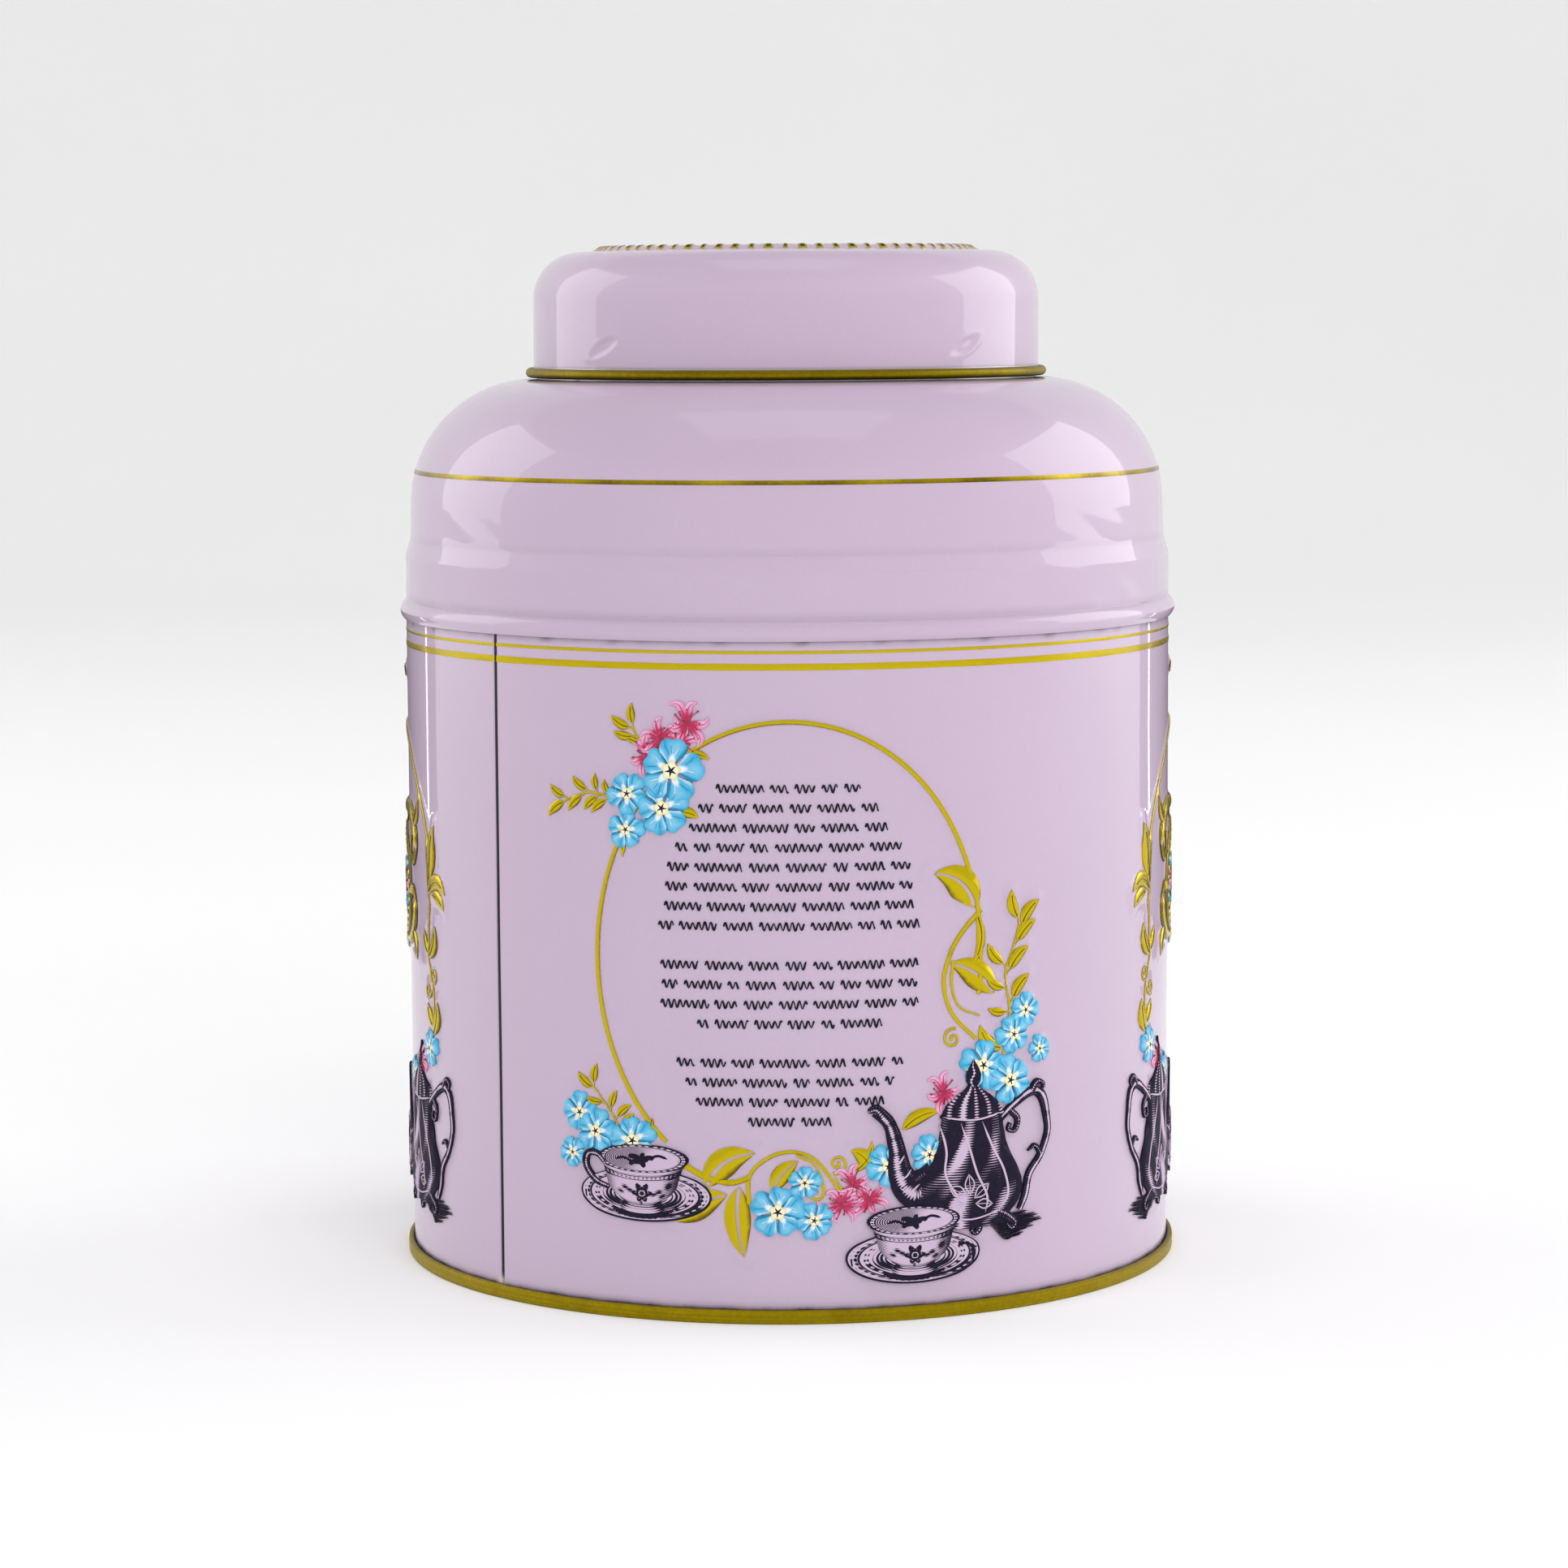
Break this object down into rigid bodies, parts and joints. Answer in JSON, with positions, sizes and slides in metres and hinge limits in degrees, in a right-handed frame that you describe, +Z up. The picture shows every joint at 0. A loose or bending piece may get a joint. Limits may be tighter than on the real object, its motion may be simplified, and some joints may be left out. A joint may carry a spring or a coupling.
{
  "type": "tea caddy",
  "caption": "Round tinplate tea caddy with a domed shoulder, rolled foot rim and a slip-on lid that lifts off a neck ring.",
  "frame": {"origin": "centre of the circle that the foot rim stands on", "axes": "+Z up along the tin's axis, -Y towards the front panel, +X to the right seen from the front"},
  "size_m": [0.1238, 0.1238, 0.1606],
  "materials": {
    "lilac_lacquer": "pale lilac printed tinplate under clear gloss lacquer",
    "gold_lacquer": "yellow-gold lacquered tinplate, satin, fine rolled lines",
    "bare_tin": "bare tinplate, satin",
    "gold_ink": "metallic gold print on embossed tinplate, glossy",
    "blue_ink": "sky-blue printed petals, glossy",
    "pink_ink": "pink printed star flowers, glossy",
    "cream_ink": "cream printed flower eyes, glossy",
    "black_ink": "near-black engraving print, glossy"
  },
  "bodies": {
    "caddy": {"body_wall": "lilac_lacquer", "base_plate": "gold_lacquer", "shoulder": "lilac_lacquer", "neck_ring": "bare_tin"},
    "lid": {"lid": "lilac_lacquer"}
  },
  "joints": [
    {"name": "lid_lift", "type": "slide", "parent": "caddy", "child": "lid", "axis": [0, 0, 1], "range_m": [0, 0.06]}
  ]
}
